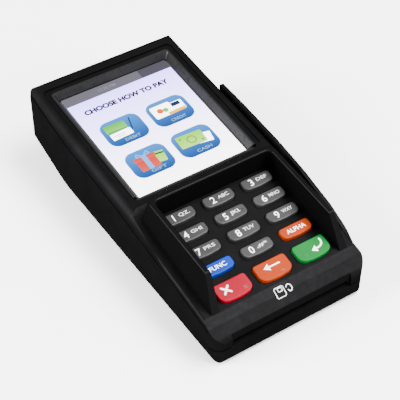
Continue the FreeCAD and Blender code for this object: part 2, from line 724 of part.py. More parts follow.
def make_lcd_panel():
    top = -GLASS_T - GASKET_T
    block = rounded_block(GLASS_HALF_W - CARRIER_LIP, GLASS_HALF_H - CARRIER_LIP, 0.6, top - PANEL_T, top)
    return placed(block, DISPLAY)


def make_lcd_backlight():
    top = -GLASS_T - GASKET_T - PANEL_T
    block = rounded_block(GLASS_HALF_W - CARRIER_LIP, GLASS_HALF_H - CARRIER_LIP, 0.6, top - BACKLIGHT_T, top)
    return placed(block, DISPLAY)


def carrier_bottom():
    return -GLASS_T - GASKET_T - PANEL_T - BACKLIGHT_T - CARRIER_T


def make_lcd_carrier():
    """Metal tray under the panel with four ears."""
    top = -GLASS_T - GASKET_T
    tray = rounded_block(GLASS_HALF_W, GLASS_HALF_H, 1.6, carrier_bottom(), top)
    hollow = rounded_block(GLASS_HALF_W - CARRIER_LIP, GLASS_HALF_H - CARRIER_LIP, 0.6,
                           carrier_bottom() + CARRIER_T, 0)
    ears = []
    holes = []
    for side in (-1, 1):
        for v in (-EAR_V, EAR_V):
            ears.append(rod(side * EAR_X, v, -EAR_DEPTH - CARRIER_T, -EAR_DEPTH, EAR_R - 0.6))
            near = side * (GLASS_HALF_W - CARRIER_LIP)
            far = side * EAR_X
            ears.append(box(min(near, far), max(near, far), v - 2.0, v + 2.0,
                            -EAR_DEPTH - CARRIER_T, -EAR_DEPTH))
            holes.append(rod(side * EAR_X, v, -12, 2, SCREW_R))
    tray = cut(tray, hollow)
    return placed(cut(fuse(tray, *ears), hollow, *holes), DISPLAY)


def screw(r, head_r, head_t, length):
    """Pan-head screw standing head down on the local origin, shank along +Z."""
    head = Part.makeCylinder(head_r, head_t, Vector(0, 0, -head_t))
    rim = [e for e in head.Edges if e.BoundBox.ZMax < -0.5 * head_t]
    head = head.makeFillet(head_t * 0.35, rim)
    shank = Part.makeCylinder(r, length)
    recess = [box(-head_r * 0.6, head_r * 0.6, -0.22, 0.22, -head_t - 1, -head_t + 0.7),
              box(-0.22, 0.22, -head_r * 0.6, head_r * 0.6, -head_t - 1, -head_t + 0.7)]
    return cut(fuse(head, shank), *recess)


def make_lcd_carrier_screws():
    screws = []
    for u in (-EAR_X, EAR_X):
        for v in (-EAR_V, EAR_V):
            item = screw(SCREW_R, SCREW_HEAD_R - 0.2, 1.0, 5.0)
            item.translate(Vector(u, v, -EAR_DEPTH - CARRIER_T))
            screws.append(placed(item, DISPLAY))
    return Part.makeCompound(screws)


def make_contactless_antenna():
    """Loop antenna on a thin board hung under the carrier."""
    top = carrier_bottom()
    half_w = GLASS_HALF_W - ANTENNA_INSET_X
    half_h = GLASS_HALF_H - ANTENNA_INSET_Y
    board = rounded_block(half_w, half_h, 2.0, top - ANTENNA_T, top)
    hole = rounded_block(half_w - ANTENNA_W, half_h - ANTENNA_W, 2.0, top - 3, top + 3)
    return placed(cut(board, hole), DISPLAY)


# ================================================================== keypad parts
def make_key(u, v, tall, pips):
    cap = key_block(u, v, tall, 0, -DECK_T - 0.05 - FLANGE, KEY_PROUD)
    cap = cap.makeFillet(0.55, [e for e in cap.Edges if e.BoundBox.ZMin > KEY_PROUD - 0.01])
    flange = key_block(u, v, tall, FLANGE, -DECK_T - 0.05 - FLANGE, -DECK_T - 0.05)
    solid = fuse(cap, flange)
    if pips:
        marks = []
        for side in (-1, 1):
            x = u + side * (KEY_W / 2 - 2.4)
            ring = cut(rod(x, v, KEY_PROUD - 0.3, KEY_PROUD + 0.25, PIP_R),
                       rod(x, v, KEY_PROUD - 0.4, KEY_PROUD + 1, PIP_R - 0.4))
            marks.append(ring)
        solid = fuse(solid, *marks)
    return placed(solid, PAD)


def make_keypad_membrane():
    """Silicone sheet with a nub over each dome and a raised border toward the board."""
    top = -MEMBRANE_TOP
    low = top - MEMBRANE_T
    half_w = PAD_BOARD_HALF_W - 0.4
    y0 = PAD_BOARD_FRONT_V + 0.4
    y1 = PAD_BOARD_REAR_V - 0.4
    sheet = box(-half_w, half_w, y0, y1, low, top)
    border = cut(box(-half_w, half_w, y0, y1, low - DOME_GAP, low),
                 box(-half_w + 1.2, half_w - 1.2, y0 + 1.2, y1 - 1.2, low - 2, low + 1))
    nubs = [rod(u, v, low - DOME_GAP + DOME_T, low, 1.4) for name, u, v, tall in key_places()]
    body = fuse(sheet, border, *nubs)
    return placed(cut(body, *boss_clearances(1.95, low - 2, top + 1)), PAD)


def make_keypad_domes():
    """Snap domes, one under every key."""
    floor = pad_board_top()
    domes = []
    for name, u, v, tall in key_places():
        radius = (DOME_R ** 2 + DOME_T ** 2) / (2 * DOME_T)
        centre = Vector(u, v, floor + DOME_T - radius)
        cap = Part.makeSphere(radius, centre).common(rod(u, v, floor, floor + 1, DOME_R))
        domes.append(placed(cap, PAD))
    return Part.makeCompound(domes)


def make_keypad_board():
    top = pad_board_top()
    board = box(-PAD_BOARD_HALF_W, PAD_BOARD_HALF_W, PAD_BOARD_FRONT_V, PAD_BOARD_REAR_V,
                top - PAD_BOARD_T, top)
    return placed(cut(board, *boss_clearances(0.8, top - 5, top + 5)), PAD)


def make_keypad_board_screws():
    screws = []
    for u, v in pad_bosses():
        item = screw(0.8, 1.5, 0.9, PAD_BOARD_T + 2.4)
        item.translate(Vector(u, v, pad_board_top() - PAD_BOARD_T))
        screws.append(placed(item, PAD))
    return Part.makeCompound(screws)


# ================================================================== electronics in the lower housing
def make_main_board():
    board = box(-BOARD_HALF_W, BOARD_HALF_W, BOARD_FRONT_Y, BOARD_REAR_Y, BOARD_Z, BOARD_TOP)
    holes = [rod(x, y, BOARD_Z - 1, BOARD_TOP + 1, SCREW_R) for x, y in BOARD_SCREW_XY]
    towers = [rod(x, y, BOARD_Z - 1, BOARD_TOP + 1, TOWER_R + PART_GAP) for x, y, seat in HOUSING_SCREWS]
    return cut(board, *(holes + towers))


def make_main_board_screws():
    screws = []
    for x, y in BOARD_SCREW_XY:
        item = screw(SCREW_R, SCREW_HEAD_R, 1.2, BOARD_T + 2.2)
        item.rotate(Vector(0, 0, 0), Vector(1, 0, 0), 180)
        item.translate(Vector(x, y, BOARD_TOP))
        screws.append(item)
    return Part.makeCompound(screws)


def make_processor_can():
    can = box(-13, 11, -20.5, -2.5, BOARD_TOP, BOARD_TOP + 2.4)
    can = can.makeFillet(0.5, [e for e in can.Edges if e.BoundBox.ZMin > BOARD_TOP + 2.3])
    return cut(can, box(-12.6, 10.6, -20.1, -2.9, BOARD_TOP - 1, BOARD_TOP + 2.1))


def lever_bay():
    return box(-2.5, 2.5, CARD_STOP_Y - 2.6, READER_REAR_Y + 1, SLOT_Z - CARD_GAP / 2, READER_TOP_Z + 1)


def make_chip_reader_frame():
    body = box(-READER_HALF_W, READER_HALF_W, READER_FRONT_Y + 0.8, READER_REAR_Y, BOARD_TOP, READER_TOP_Z)
    window = box(-7.5, 7.5, CONTACT_Y - CONTACT_PITCH * 2 - 0.6, CONTACT_Y + CONTACT_PITCH * 2 + 0.6,
                 SLOT_Z, READER_TOP_Z + 1)
    hinge = Part.makeCylinder(0.95, 7.0, Vector(-3.5, LEVER_Y, LEVER_Z), Vector(1, 0, 0))
    return cut(body, card_slot(), window, lever_bay(), hinge)


def make_chip_contacts():
    """Eight spring blades reaching from the frame's roof into the card gap."""
    blades = []
    for side in (-1, 1):
        for i in range(CONTACT_ROWS):
            y = CONTACT_Y + (i - (CONTACT_ROWS - 1) / 2) * CONTACT_PITCH
            tip = side * CONTACT_ROW_GAP / 2
            root = side * 7.5
            low = min(tip, root)
            blade = box(low, low + abs(root - tip), y - 0.4, y + 0.4, SLOT_Z + 1.4, SLOT_Z + 1.65)
            foot = box(tip - 0.25, tip + 0.25, y - 0.4, y + 0.4, SLOT_Z + 0.5, SLOT_Z + 1.4)
            blades.append(fuse(blade, foot))
    return Part.makeCompound(blades)


def make_card_detect_lever():
    hub = Part.makeCylinder(0.8, 6.6, Vector(-3.3, LEVER_Y, LEVER_Z), Vector(1, 0, 0))
    arm = box(-2.0, 2.0, LEVER_Y - 0.5, LEVER_Y + 0.5, SLOT_Z - CARD_GAP / 2 + 0.3, LEVER_Z)
    return fuse(hub, arm)


def make_magnetic_head():
    """Read head whose rounded face looks into the swipe gap."""
    face_x = BODY_HALF_W + HEAD_PROUD
    block = box(face_x - HEAD_SIZE.x, face_x, HEAD_Y - HEAD_SIZE.y / 2, HEAD_Y + HEAD_SIZE.y / 2,
                HEAD_Z - HEAD_SIZE.z / 2, HEAD_Z + HEAD_SIZE.z / 2)
    nose_r = 12.0
    nose_foot = Vector(face_x - nose_r, HEAD_Y, HEAD_Z - HEAD_SIZE.z / 2 - 1)
    nose = Part.makeCylinder(nose_r, HEAD_SIZE.z + 2, nose_foot)
    return block.common(nose)


def make_head_spring():
    reach = HEAD_POST_DY + HEAD_POST_R
    leaf = box(spring_x() - HEAD_SPRING_T, spring_x(), HEAD_Y - reach, HEAD_Y + reach,
               HEAD_Z - 2.0, HEAD_Z + 2.0)
    holes = []
    for side in (-1, 1):
        y = HEAD_Y + side * HEAD_POST_DY
        holes.append(Part.makeCylinder(SCREW_R, 4, Vector(spring_x() - 2, y, HEAD_Z), Vector(1, 0, 0)))
    return cut(leaf, *holes)


def make_head_spring_screws():
    screws = []
    for side in (-1, 1):
        item = screw(SCREW_R, 1.9, 0.9, HEAD_SPRING_T + 2.6)
        item.rotate(Vector(0, 0, 0), Vector(0, 1, 0), 90)
        item.translate(Vector(spring_x() - HEAD_SPRING_T, HEAD_Y + side * HEAD_POST_DY, HEAD_Z))
        screws.append(item)
    return Part.makeCompound(screws)


def make_battery_holder():
    base = rod(-17, 20, BOARD_TOP, BOARD_TOP + 4.2, 11.6)
    floor = BOARD_TOP + 0.8
    return cut(base, rod(-17, 20, floor, floor + 8, 10.15), box(-21, -13, 28, 34, floor, floor + 8))


def make_backup_battery():
    cell = rod(-17, 20, BOARD_TOP + 0.8, BOARD_TOP + 4.0, 10.0)
    return cell.makeFillet(0.5, [e for e in cell.Edges if e.BoundBox.ZMin > BOARD_TOP + 3.9])


def make_sam_sockets():
    sockets = []
    for x in (-1.0, 15.0):
        frame = box(x, x + 14.0, 2.0, 19.0, BOARD_TOP, BOARD_TOP + 1.8)
        sockets.append(cut(frame, box(x + 1.0, x + 13.0, 1.0, 17.5, BOARD_TOP + 0.6, BOARD_TOP + 1.4),
                           box(x + 3.0, x + 11.0, 1.0, 12.0, BOARD_TOP + 1.0, BOARD_TOP + 3)))
    return Part.makeCompound(sockets)


def make_buzzer():
    can = rod(22, 27, BOARD_TOP, BOARD_TOP + 4.0, 4.5)
    return cut(can, rod(22, 27, BOARD_TOP + 3.0, BOARD_TOP + 5, 1.0))


def make_cable_port():
    """Multi-way socket at the rear edge of the main board, mouth toward the cable bay."""
    y1 = BAY_FRONT_Y - 0.2
    body = box(-PORT_SIZE.x / 2, PORT_SIZE.x / 2, y1 - PORT_SIZE.y, y1, BOARD_TOP, BOARD_TOP + PORT_SIZE.z)
    mouth = box(-PORT_SIZE.x / 2 + 1.2, PORT_SIZE.x / 2 - 1.2, y1 - PORT_SIZE.y + 2, y1 + 1,
                BOARD_TOP + 1.2, BOARD_TOP + PORT_SIZE.z - 1.2)
    tongue = box(-PORT_SIZE.x / 2 + 3.0, PORT_SIZE.x / 2 - 3.0, y1 - PORT_SIZE.y + 1.5, y1 - 1.5,
                 BOARD_TOP + 3.1, BOARD_TOP + 4.1)
    return fuse(cut(body, mouth), tongue)


def board_connector(x0, x1, y0, y1):
    return box(x0, x1, y0, y1, BOARD_TOP, BOARD_TOP + 1.6)


def make_flex_connectors():
    return Part.makeCompound([board_connector(16, 31, -17.5, -13.5), board_connector(16, 31, -4.5, -0.5)])


def ribbon(points, thickness, x0, x1):
    """Flat cable following a side-view path; each leg is thickened toward its left."""
    upper = [Vector(0, y, z) for y, z in points]
    legs = []
    for a, b in zip(upper[:-1], upper[1:]):
        along = b - a
        along.normalize()
        side = Vector(0, -along.z, along.y) * thickness
        corners = [(p.y, p.z, 0) for p in (a, b, b + side, a + side)]
        legs.append(prism_x(corners, x0, x1))
    joints = [Part.makeCylinder(thickness, x1 - x0, Vector(x0, p.y, p.z), Vector(1, 0, 0))
              for p in upper[1:-1]]
    return fuse(legs[0], *(legs[1:] + joints))


def make_display_flex():
    start = DISPLAY.multVec(Vector(0, -35.5, carrier_bottom() - 0.3))
    turn = DISPLAY.multVec(Vector(0, -44.0, carrier_bottom() - 0.3))
    low = BOARD_TOP + 2.2
    path = [(start.y, start.z), (turn.y, turn.z), (-9.6, 12.0), (-4.5, low), (-0.5, low)]
    return ribbon([(y, z) for y, z in path], 0.3, 18, 29)


def make_keypad_flex():
    low = pad_board_top() - PAD_BOARD_T - 0.3
    start = PAD.multVec(Vector(0, 16.0, low))
    turn = PAD.multVec(Vector(0, 27.0, low))
    low = BOARD_TOP + 2.2
    path = [(start.y, start.z), (turn.y, turn.z), (-17.2, 12.0), (-17.0, low), (-13.5, low)]
    return ribbon(path, 0.3, 16.5, 25.5)


# ================================================================== underside parts
def make_bay_cover():
    """Sliding cover on the ramp, its tail cut to the rear face of the body."""
    plate = box(-COVER_HALF_W, COVER_HALF_W, COVER_FRONT_V, REACH / 4, 0, COVER_T)
    tabs = []
    for side in (-1, 1):
        for v in TAB_V:
            inner = side * (COVER_HALF_W - 1)
            tip = side * (COVER_HALF_W + TAB_REACH)
            tabs.append(box(min(inner, tip), max(inner, tip), v, v + TAB_LEN, 0.6, 0.6 + TAB_T))
    grips = [box(-7.0, 7.0, 26.0 + 2.4 * i, 27.0 + 2.4 * i, -1, 0.5) for i in range(4)]
    cover = placed(cut(fuse(plate, *tabs), *grips), RAMP)
    return cover.common(envelope(0))


def make_rubber_feet():
    feet = []
    for x, y in FOOT_XY:
        foot = rod(x, y, 0, FOOT_T, FOOT_R)
        feet.append(foot.makeFillet(0.4, [e for e in foot.Edges if e.BoundBox.ZMax < 0.1]))
    return Part.makeCompound(feet)


def make_housing_screws():
    screws = []
    for x, y, seat in HOUSING_SCREWS:
        item = screw(SCREW_R, SCREW_HEAD_R, SCREW_HEAD_T, SEAT_T + 8.0)
        item.translate(Vector(x, y, seat))
        screws.append(item)
    return Part.makeCompound(screws)


def make_stand_inserts():
    inserts = []
    for x, y in INSERT_XY:
        sleeve = rod(x, y, FLOOR_Z, FLOOR_Z + INSERT_LEN, INSERT_R)
        inserts.append(cut(sleeve, rod(x, y, FLOOR_Z - 1, FLOOR_Z + INSERT_LEN - 0.6, INSERT_BORE_R)))
    return Part.makeCompound(inserts)


# ================================================================== output
def build_parts():
    parts = {
        "lower_housing": make_lower_housing(),
        "upper_housing": make_upper_housing(),
        "privacy_shield": make_privacy_shield(),
        "display_bezel": make_display_bezel(),
        "touch_glass": make_touch_glass(),
        "display_gasket": make_display_gasket(),
        "lcd_panel": make_lcd_panel(),
        "lcd_backlight": make_lcd_backlight(),
        "lcd_carrier": make_lcd_carrier(),
        "lcd_carrier_screws": make_lcd_carrier_screws(),
        "contactless_antenna": make_contactless_antenna(),
        "keypad_membrane": make_keypad_membrane(),
        "keypad_domes": make_keypad_domes(),
        "keypad_board": make_keypad_board(),
        "keypad_board_screws": make_keypad_board_screws(),
        "main_board": make_main_board(),
        "main_board_screws": make_main_board_screws(),
        "processor_can": make_processor_can(),
        "chip_reader_frame": make_chip_reader_frame(),
        "chip_contacts": make_chip_contacts(),
        "card_detect_lever": make_card_detect_lever(),
        "magnetic_head": make_magnetic_head(),
        "head_spring": make_head_spring(),
        "head_spring_screws": make_head_spring_screws(),
        "battery_holder": make_battery_holder(),
        "backup_battery": make_backup_battery(),
        "sam_sockets": make_sam_sockets(),
        "buzzer": make_buzzer(),
        "cable_port": make_cable_port(),
        "flex_connectors": make_flex_connectors(),
        "display_flex": make_display_flex(),
        "keypad_flex": make_keypad_flex(),
        "bay_cover": make_bay_cover(),
        "rubber_feet": make_rubber_feet(),
        "housing_screws": make_housing_screws(),
        "stand_inserts": make_stand_inserts(),
    }
    for name, u, v, tall in key_places():
        parts["key_" + name] = make_key(u, v, tall, name == "5")
    return parts


for node, shape in build_parts().items():
    shape.translate(FRAME_SHIFT)
    shape.exportStep("parts/" + node + ".step")
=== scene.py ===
"""Looks of the card payment terminal: materials, key legends, the picture on the display,
floor, lights and camera.  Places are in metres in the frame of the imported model; drawings are
in millimetres on the plane that carries them."""

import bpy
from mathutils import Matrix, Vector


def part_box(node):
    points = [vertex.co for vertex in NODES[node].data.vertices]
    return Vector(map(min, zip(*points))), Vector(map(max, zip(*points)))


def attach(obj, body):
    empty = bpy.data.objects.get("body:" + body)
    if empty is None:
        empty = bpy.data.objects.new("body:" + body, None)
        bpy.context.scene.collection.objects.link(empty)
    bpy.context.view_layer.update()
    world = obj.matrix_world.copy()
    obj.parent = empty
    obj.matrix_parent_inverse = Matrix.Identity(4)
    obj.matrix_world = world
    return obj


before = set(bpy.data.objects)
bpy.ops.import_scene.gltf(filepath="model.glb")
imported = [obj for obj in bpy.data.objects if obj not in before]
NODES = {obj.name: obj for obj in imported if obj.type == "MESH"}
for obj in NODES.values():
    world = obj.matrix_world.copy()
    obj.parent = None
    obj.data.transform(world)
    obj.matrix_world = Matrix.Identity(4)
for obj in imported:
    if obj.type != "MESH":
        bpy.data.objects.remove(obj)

import math

import bmesh
import bpy
from mathutils import Matrix, Vector
from mathutils.bvhtree import BVHTree

MM = 0.001
DISPLAY_TILT = math.radians(4.9)
PAD_TILT = math.radians(10.1)
FRONT_SLOPE = math.radians(40.0)
BASE = "terminal"
WHITE = (1, 1, 1, 1)
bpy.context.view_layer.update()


def add_object(name, data):
    obj = bpy.data.objects.new(name, data)
    bpy.context.scene.collection.objects.link(obj)
    return obj


# ---------------------------------------------------------------- node materials
NOISE_ROUGHNESS = 0.5
NOISE_LOW = 0.25                # nearly all of a noise texture lies between these two
NOISE_HIGH = 0.75
TINT_SCALE = 90.0               # colour blotches, gloss patches and lit patches, per metre
GLOSS_SCALE = 420.0
LIT_GLOSS_SCALE = 300.0
GRAIN_DETAIL = 2.0
GRAIN_DEPTH = 0.02 * MM
COAT_ROUGHNESS = 0.12
DOT_SCALE = 5200.0              # dot grid of the display, per metre
DOT_SHADE = (0.97, 0.97, 0.97, 1)
LIT_ROUGH = (0.25, 0.35)
LIT_SPECULAR = 0.15


def fill(node, **values):
    """Sets inputs of a node; an underscore stands for a space in an input's name."""
    for key, value in values.items():
        node.inputs[key.replace("_", " ")].default_value = value


class Shader:
    """Small helper that builds one procedural material node by node."""

    def __init__(self, name):
        self.mat = bpy.data.materials.new(name)
        self.mat.use_nodes = True
        self.tree = self.mat.node_tree
        self.bsdf = self.tree.nodes["Principled BSDF"]
        self.coord = self.add("ShaderNodeTexCoord").outputs["Object"]

    def add(self, kind):
        return self.tree.nodes.new(kind)

    def link(self, out, into):
        self.tree.links.new(out, into)

    def noise(self, scale, detail=3.0):
        node = self.add("ShaderNodeTexNoise")
        fill(node, Scale=scale, Detail=detail, Roughness=NOISE_ROUGHNESS)
        self.link(self.coord, node.inputs["Vector"])
        return node.outputs["Fac"]

    def span(self, fac, low, high):
        """A noise stretched to run from low to high."""
        node = self.add("ShaderNodeMapRange")
        fill(node, From_Min=NOISE_LOW, From_Max=NOISE_HIGH, To_Min=low, To_Max=high)
        self.link(fac, node.inputs["Value"])
        return node.outputs["Result"]

    def tint(self, fac, dark, light):
        node = self.add("ShaderNodeMix")
        node.data_type = "RGBA"
        fill(node, A=(*dark, 1), B=(*light, 1))
        self.link(fac, node.inputs["Factor"])
        return node.outputs["Result"]

    def bump(self, height, strength, distance):
        node = self.add("ShaderNodeBump")
        fill(node, Strength=strength, Distance=distance)
        self.link(height, node.inputs["Height"])
        self.link(node.outputs["Normal"], self.bsdf.inputs["Normal"])


def surface(name, colour, rough, spread=0.12, grain=2600.0, strength=0.35, metal=0.0, coat=0.0,
            rough_spread=0.06, **more):
    """Plastic, metal or rubber: blotchy tint, uneven gloss and a fine grain."""
    s = Shader(name)
    broad = s.noise(TINT_SCALE)
    dark = tuple(c * (1 - spread) for c in colour)
    light = tuple(min(1.0, c * (1 + spread)) for c in colour)
    s.link(s.tint(broad, dark, light), s.bsdf.inputs["Base Color"])
    gloss = s.span(s.noise(GLOSS_SCALE), rough - rough_spread, rough + rough_spread)
    s.link(gloss, s.bsdf.inputs["Roughness"])
    s.bump(s.noise(grain, GRAIN_DETAIL), strength, GRAIN_DEPTH)
    fill(s.bsdf, Metallic=metal, Coat_Weight=coat, Coat_Roughness=COAT_ROUGHNESS, **more)
    return s.mat


def glowing(name, colour, glow, colour_low=None, high=1.0):
    """Lit part of the display picture: a gradient up the piece, full at high, over a faint dot grid."""
    s = Shader(name)
    part = s.add("ShaderNodeSeparateXYZ")
    s.link(s.add("ShaderNodeTexCoord").outputs["Generated"], part.inputs["Vector"])
    ramp = s.add("ShaderNodeMapRange")
    fill(ramp, From_Min=0.0, From_Max=high)
    s.link(part.outputs["Y"], ramp.inputs["Value"])
    shade = s.tint(ramp.outputs["Result"], colour_low or colour, colour)
    grid = s.add("ShaderNodeTexChecker")
    fill(grid, Scale=DOT_SCALE, Color1=WHITE, Color2=DOT_SHADE)
    s.link(s.coord, grid.inputs["Vector"])
    mix = s.add("ShaderNodeMix")
    mix.data_type = "RGBA"
    mix.blend_type = "MULTIPLY"
    fill(mix, Factor=1.0)
    s.link(shade, mix.inputs["A"])
    s.link(grid.outputs["Color"], mix.inputs["B"])
    s.link(mix.outputs["Result"], s.bsdf.inputs["Emission Color"])
    s.link(s.span(s.noise(LIT_GLOSS_SCALE), *LIT_ROUGH), s.bsdf.inputs["Roughness"])
    fill(s.bsdf, Base_Color=(0.0, 0.0, 0.0, 1), Emission_Strength=glow, Specular_IOR_Level=LIT_SPECULAR)
    return s.mat


def key_plastic(name, colour, rough=0.36, specular=0.06):
    return surface(name, colour, rough, grain=1800.0, strength=0.12, Specular_IOR_Level=specular)


# The black mouldings are plastic.  Part metallic with no edge reflection is only how they are drawn
# here, because it keeps them black where the lights graze them.
DULL_EDGE = {"Specular_IOR_Level": 0.0, "Specular_Tint": (0.0, 0.0, 0.0, 1.0)}
BLACK = surface("black_moulding", (0.0042, 0.0042, 0.0044), 0.42, spread=0.3, grain=2200.0,
                strength=0.45, metal=0.55, **DULL_EDGE)
SHIELD = surface("black_shield", (0.0044, 0.0044, 0.0046), 0.33, grain=2400.0, strength=0.25,
                 metal=0.65, **DULL_EDGE)
# Dark grey plastic. Its base colour is lighter than the housing's partly as painted reflection of the lit
# display on the bezel's inner walls.
BEZEL = surface("bezel_with_painted_reflection", (0.019, 0.019, 0.0195), 0.3, strength=0.15, metal=0.7, **DULL_EDGE)
GLASS = surface("display_glass", (0.003, 0.003, 0.0035), 0.07, grain=60.0, strength=0.02,
                rough_spread=0.02, coat=1.0)
RUBBER = surface("foot_rubber", (0.012, 0.012, 0.012), 0.8, grain=1500.0, strength=0.6)
STEEL = surface("plated_steel", (0.55, 0.55, 0.56), 0.3, metal=1.0, grain=900.0, strength=0.1)
BRASS = surface("brass", (0.62, 0.43, 0.17), 0.3, metal=1.0, grain=900.0, strength=0.15)
GOLD = surface("gold_plate", (0.78, 0.55, 0.2), 0.2, metal=1.0, grain=900.0, strength=0.05)
BOARD = surface("circuit_board", (0.01, 0.09, 0.03), 0.35, grain=700.0, strength=0.3)
DARK_PLASTIC = surface("dark_plastic", (0.014, 0.014, 0.014), 0.5)
WHITE_PLASTIC = surface("white_plastic", (0.75, 0.75, 0.72), 0.45)
SILICONE = surface("silicone", (0.22, 0.23, 0.25), 0.6)
FLEX = surface("flat_cable", (0.35, 0.14, 0.03), 0.35)
FOAM = surface("foam", (0.02, 0.02, 0.02), 0.9, grain=900.0, strength=0.8)
FILM = surface("display_film", (0.6, 0.6, 0.66), 0.25)
HEAD = surface("read_head", (0.62, 0.6, 0.55), 0.18, metal=1.0, grain=500.0, strength=0.05)
KEY_GREY = key_plastic("key_grey", (0.02, 0.02, 0.0205), rough=0.34, specular=0.12)
KEY_BLUE = key_plastic("key_blue", (0.0, 0.022, 0.21))
KEY_ORANGE = key_plastic("key_orange", (0.19, 0.018, 0.0))
KEY_RED = key_plastic("key_red", (0.19, 0.0, 0.009))
KEY_GREEN = key_plastic("key_green", (0.0, 0.085, 0.013))
KEY_RED_MARK = surface("key_red_mark", (0.1, 0.002, 0.006), 0.4)
KEY_ORANGE_MARK = surface("key_orange_mark", (0.12, 0.012, 0.0004), 0.4)
KEY_GREEN_MARK = surface("key_green_mark", (0.0004, 0.05, 0.012), 0.4)
LEGEND = surface("legend_white", (0.86, 0.86, 0.86), 0.5, spread=0.03)
SOFT_LEGEND = surface("legend_grey", (0.5, 0.5, 0.5), 0.5, spread=0.03)
PRINT = surface("printed_icon", (0.8, 0.8, 0.8), 0.55, spread=0.04)

LOOKS = {
    "lower_housing": BLACK, "upper_housing": BLACK, "privacy_shield": SHIELD, "display_bezel": BEZEL,
    "touch_glass": GLASS, "display_gasket": FOAM, "lcd_panel": FILM, "lcd_backlight": WHITE_PLASTIC,
    "lcd_carrier": STEEL, "lcd_carrier_screws": STEEL, "contactless_antenna": BOARD,
    "keypad_membrane": SILICONE, "keypad_domes": STEEL, "keypad_board": BOARD, "keypad_board_screws": STEEL,
    "main_board": BOARD, "main_board_screws": STEEL, "processor_can": STEEL,
    "chip_reader_frame": DARK_PLASTIC, "chip_contacts": GOLD, "card_detect_lever": WHITE_PLASTIC,
    "magnetic_head": HEAD, "head_spring": STEEL, "head_spring_screws": STEEL,
    "battery_holder": DARK_PLASTIC, "backup_battery": STEEL,
    "sam_sockets": DARK_PLASTIC, "buzzer": DARK_PLASTIC, "cable_port": DARK_PLASTIC,
    "flex_connectors": WHITE_PLASTIC, "display_flex": FLEX, "keypad_flex": FLEX, "bay_cover": BLACK,
    "rubber_feet": RUBBER, "housing_screws": STEEL, "stand_inserts": BRASS,
    "key_function": KEY_BLUE, "key_alpha": KEY_ORANGE, "key_clear": KEY_ORANGE, "key_cancel": KEY_RED,
    "key_enter": KEY_GREEN,
}
for node, obj in NODES.items():
    obj.data.materials.clear()
    obj.data.materials.append(LOOKS.get(node, KEY_GREY))


# ---------------------------------------------------------------- drawing planes and flat pieces
TOP_BAND = 0.06 * MM            # points this near the highest one belong to the top face
PLATE_DEPTH = 0.03
JOINT_SIDES = 12
CAP_HEIGHT = 0.7                # height of a capital for a text size of one
TEXT_HALF_DEPTH = 0.012
TEXT_RESOLUTION = 3


def tilted(node, tilt, skip=0.0):
    """Frame on the top face of a tilted node: X across, Y up the slope, Z out of the face.
    skip leaves out what stands proud of that face."""
    up = Vector((0, -math.sin(tilt), math.cos(tilt)))
    along = Vector((0, math.cos(tilt), math.sin(tilt)))
    across = Vector((1, 0, 0))
    points = [NODES[node].matrix_world @ v.co for v in NODES[node].data.vertices]
    top = max(p.dot(up) for p in points) - skip
    near = [p for p in points if abs(p.dot(up) - top) < TOP_BAND]
    u = (min(p.dot(across) for p in near) + max(p.dot(across) for p in near)) / 2
    v = (min(p.dot(along) for p in near) + max(p.dot(along) for p in near)) / 2
    origin = across * u + along * v + up * top
    return Matrix(((across.x, along.x, up.x, origin.x), (across.y, along.y, up.y, origin.y),
                   (across.z, along.z, up.z, origin.z), (0, 0, 0, 1)))


def finish_piece(obj, plane, material, body, lift):
    """Puts a flat piece drawn in millimetres onto its plane and hands it to a body."""
    obj.data.materials.clear()
    obj.data.materials.append(material)
    obj.data.transform(plane @ Matrix.Translation((0, 0, lift * MM)) @ Matrix.Scale(MM, 4))
    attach(obj, body)
    return obj


def flat(name, loops, plane, material, body, lift):
    """Thin plate bounded by the given outlines (lists of millimetre points)."""
    mesh = bpy.data.meshes.new(name)
    bm = bmesh.new()
    for loop in loops:
        low = [bm.verts.new((x, y, 0)) for x, y in loop]
        high = [bm.verts.new((x, y, PLATE_DEPTH)) for x, y in loop]
        bm.faces.new(high)
        bm.faces.new(list(reversed(low)))
        for i in range(len(loop)):
            j = (i + 1) % len(loop)
            bm.faces.new((low[i], low[j], high[j], high[i]))
    bmesh.ops.recalc_face_normals(bm, faces=bm.faces)
    bm.to_mesh(mesh)
    bm.free()
    return finish_piece(add_object(name, mesh), plane, material, body, lift)


def rounded(cx, cy, w, h, r, steps=6, turn=0.0):
    """Rounded rectangle outline about (cx, cy), turned by some degrees."""
    loop = []
    for qx, qy, start in ((1, 1, 0), (-1, 1, 90), (-1, -1, 180), (1, -1, 270)):
        for i in range(steps + 1):
            a = math.radians(start + 90 * i / steps)
            loop.append((qx * (w / 2 - r) + r * math.cos(a), qy * (h / 2 - r) + r * math.sin(a)))
    c, s = math.cos(math.radians(turn)), math.sin(math.radians(turn))
    return [(cx + c * x - s * y, cy + s * x + c * y) for x, y in loop]


def arc(cx, cy, rx, ry, start, sweep, steps):
    """Points along part of an ellipse, start and sweep being in half turns."""
    angles = [math.pi * (start + sweep * i / steps) for i in range(steps + 1)]
    return [(cx + rx * math.cos(a), cy + ry * math.sin(a)) for a in angles]


def disc(cx, cy, r, steps=28):
    return arc(cx, cy, r, r, 0, 2, steps)[:-1]


def stroke(points, width):
    """Rectangles, one per leg of a polyline, with round joints."""
    loops = []
    for (x0, y0), (x1, y1) in zip(points[:-1], points[1:]):
        length = math.hypot(x1 - x0, y1 - y0)
        nx, ny = -(y1 - y0) / length * width / 2, (x1 - x0) / length * width / 2
        loops.append([(x0 + nx, y0 + ny), (x0 - nx, y0 - ny), (x1 - nx, y1 - ny), (x1 + nx, y1 + ny)])
    loops += [disc(x, y, width / 2, JOINT_SIDES) for x, y in points]
    return loops


